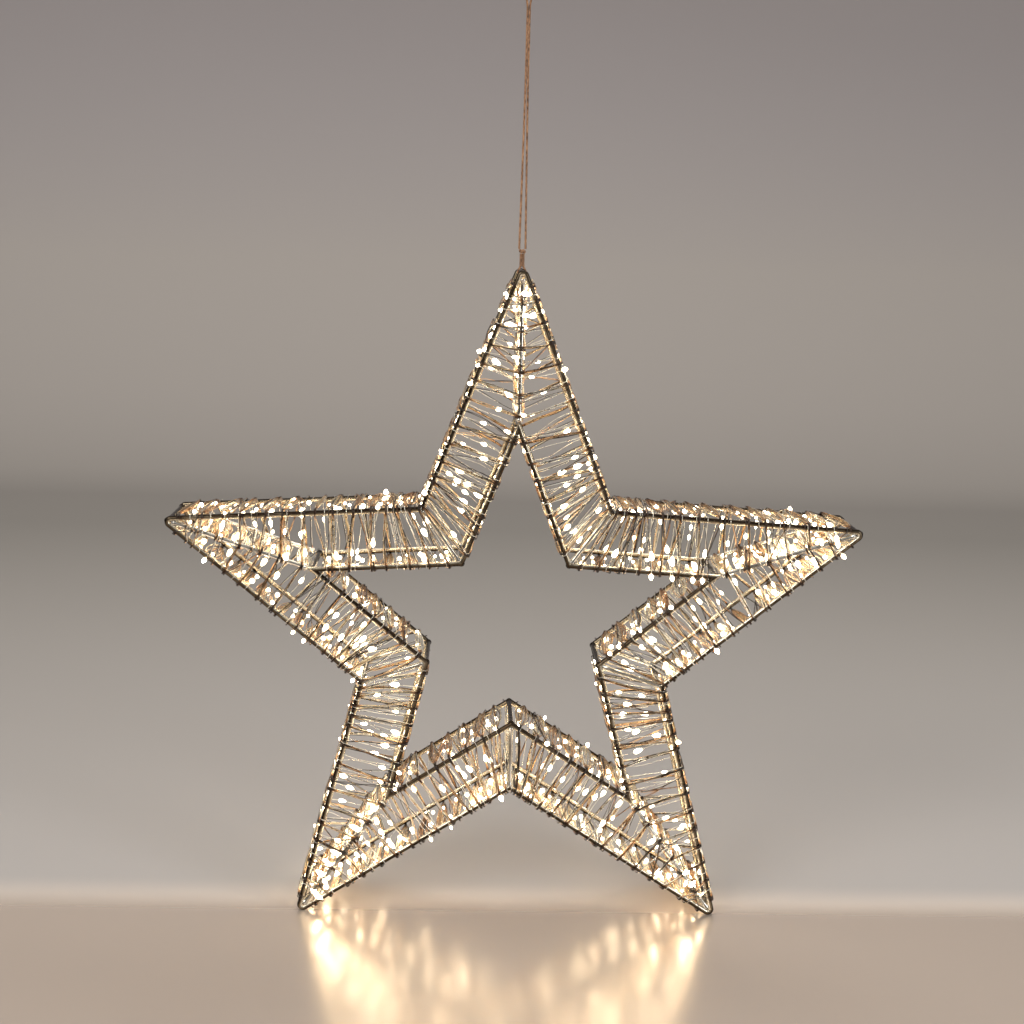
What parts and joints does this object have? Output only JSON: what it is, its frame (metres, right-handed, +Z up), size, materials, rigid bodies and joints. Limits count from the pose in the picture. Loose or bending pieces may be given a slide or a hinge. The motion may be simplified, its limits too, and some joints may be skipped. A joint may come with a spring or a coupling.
{
  "type": "led christmas star",
  "caption": "Hanging light star: a hollow band of bent rod wound with fine wire bundles and moulded light beads, on a looped cord.",
  "frame": {"origin": "the point where a hook bears inside the top loop of the hanging cord; the star hangs below it", "axes": "+Z up, +X to the right of a viewer in front of the star, the front faces -Y"},
  "size_m": [0.583, 0.0815, 0.7954],
  "materials": {
    "frame_rod": "dull nickel plate",
    "strut_rod": "dull nickel plate",
    "wire_bundle": "bare copper and brass wire",
    "light_bead": "clear resin drop, lit warm white",
    "cord": "waxed brown cord",
    "sleeve": "shrunk clear sleeve",
    "tie_band": "natural nylon"
  },
  "bodies": {
    "hanger": {"hanging_cord": "cord", "cord_knot": "cord"},
    "tie": {"tie_loop": "cord"},
    "star": {"back_inner_star": "frame_rod", "back_notch_struts": "strut_rod", "back_outer_star": "frame_rod", "back_tip_struts": "strut_rod", "bottom_left_left_limb_lights": "light_bead", "bottom_left_left_limb_winding": "wire_bundle", "bottom_left_right_limb_lights": "light_bead", "bottom_left_right_limb_winding": "wire_bundle", "bottom_left_tip_lights": "light_bead", "bottom_left_tip_winding": "wire_bundle", "bottom_right_left_limb_lights": "light_bead", "bottom_right_left_limb_winding": "wire_bundle", "bottom_right_right_limb_lights": "light_bead", "bottom_right_right_limb_winding": "wire_bundle", "bottom_right_tip_lights": "light_bead", "bottom_right_tip_winding": "wire_bundle", "front_inner_star": "frame_rod", "front_notch_struts": "strut_rod", "front_outer_star": "frame_rod", "front_tip_struts": "strut_rod", "inner_notch_spacers": "strut_rod", "inner_tip_spacers": "strut_rod", "left_left_limb_lights": "light_bead", "left_left_limb_winding": "wire_bundle", "left_right_limb_lights": "light_bead", "left_right_limb_winding": "wire_bundle", "left_tip_lights": "light_bead", "left_tip_winding": "wire_bundle", "outer_notch_spacers": "strut_rod", "outer_tip_spacers": "strut_rod", "right_left_limb_lights": "light_bead", "right_left_limb_winding": "wire_bundle", "right_right_limb_lights": "light_bead", "right_right_limb_winding": "wire_bundle", "right_tip_lights": "light_bead", "right_tip_winding": "wire_bundle", "sleeve_tie": "tie_band", "splice_sleeve": "sleeve", "top_left_limb_lights": "light_bead", "top_left_limb_winding": "wire_bundle", "top_right_limb_lights": "light_bead", "top_right_limb_winding": "wire_bundle", "top_tip_lights": "light_bead", "top_tip_spacer": "strut_rod", "top_tip_winding": "wire_bundle"}
  },
  "joints": [
    {"name": "star_turn", "type": "hinge", "parent": "hanger", "child": "tie", "pos_m": [0, 0, -0.22625], "axis": [0, 0, 1], "range_deg": [-180, 180]},
    {"name": "star_swing", "type": "hinge", "parent": "tie", "child": "star", "pos_m": [0, 0, -0.24125], "axis": [0, 1, 0], "range_deg": [-90, 90]}
  ]
}
